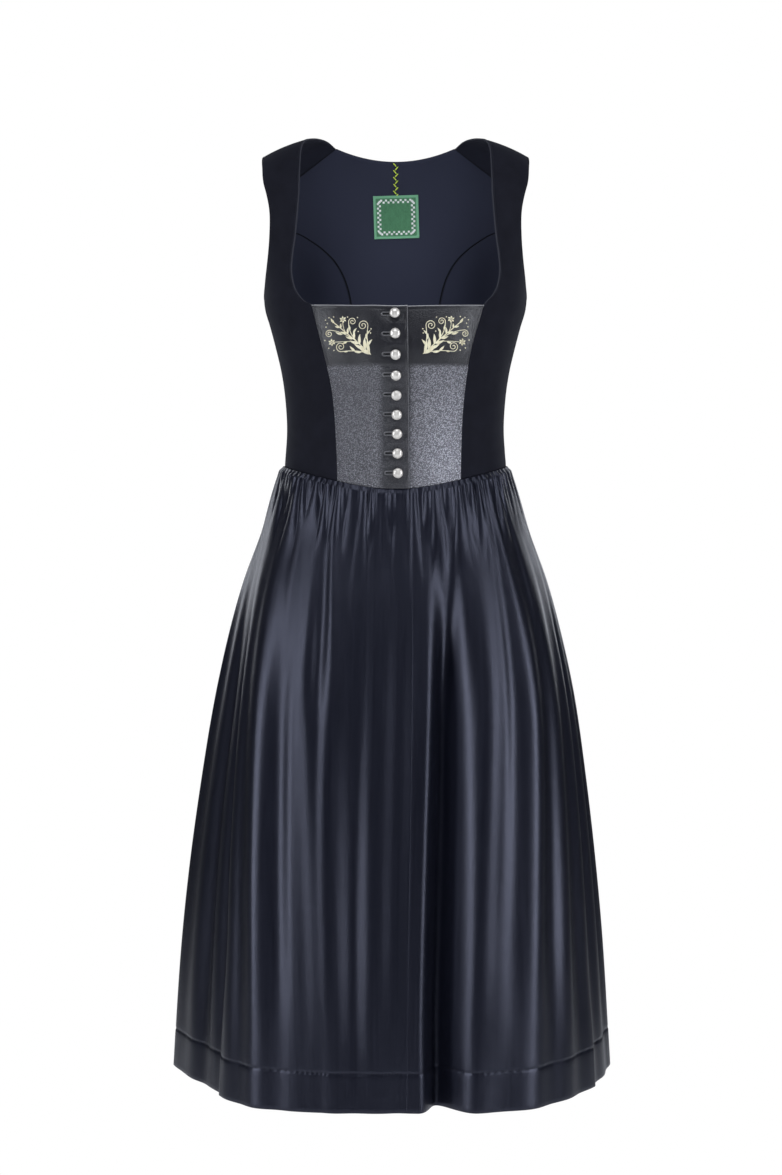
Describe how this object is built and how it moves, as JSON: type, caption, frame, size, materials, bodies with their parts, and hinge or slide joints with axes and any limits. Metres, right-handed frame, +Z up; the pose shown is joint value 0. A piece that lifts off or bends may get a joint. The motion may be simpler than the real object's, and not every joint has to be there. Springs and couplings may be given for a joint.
{
  "type": "dirndl dress",
  "caption": "Sleeveless knee-length dirndl dress, filled out as worn: navy bodice with a buttoned leather front, square neck and broad straps, and a gathered satin skirt",
  "frame": {"origin": "at the shoulders, midway between the crests of the two straps, where the wearer carries the dress", "axes": "+Z up, the front faces -Y, +X is the wearer's left"},
  "size_m": [0.49, 0.4519, 1.0403],
  "materials": {
    "bodice_cloth": "fine matt navy wool cloth",
    "leather": "fine-grained navy-black nappa with a soft gloss",
    "satin": "dark navy satin with long soft highlights",
    "pearl": "glossy white pearl",
    "label": "woven green label",
    "thread": "sewing thread",
    "embroidery": "cream and pale gold embroidery with a silky sheen"
  },
  "bodies": {
    "root": {"front_side_right": "bodice_cloth", "front_side_left": "bodice_cloth", "back_side_right": "bodice_cloth", "back_side_left": "bodice_cloth", "back_centre": "bodice_cloth", "leather_front_right": "leather", "leather_front_left": "leather", "button_1": "pearl", "button_2": "pearl", "button_3": "pearl", "button_4": "pearl", "button_5": "pearl", "button_6": "pearl", "button_7": "pearl", "button_8": "pearl", "button_9": "pearl", "neck_label": "label", "skirt_front_right": "satin", "skirt_front_left": "satin", "skirt_back": "satin"}
  },
  "joints": []
}
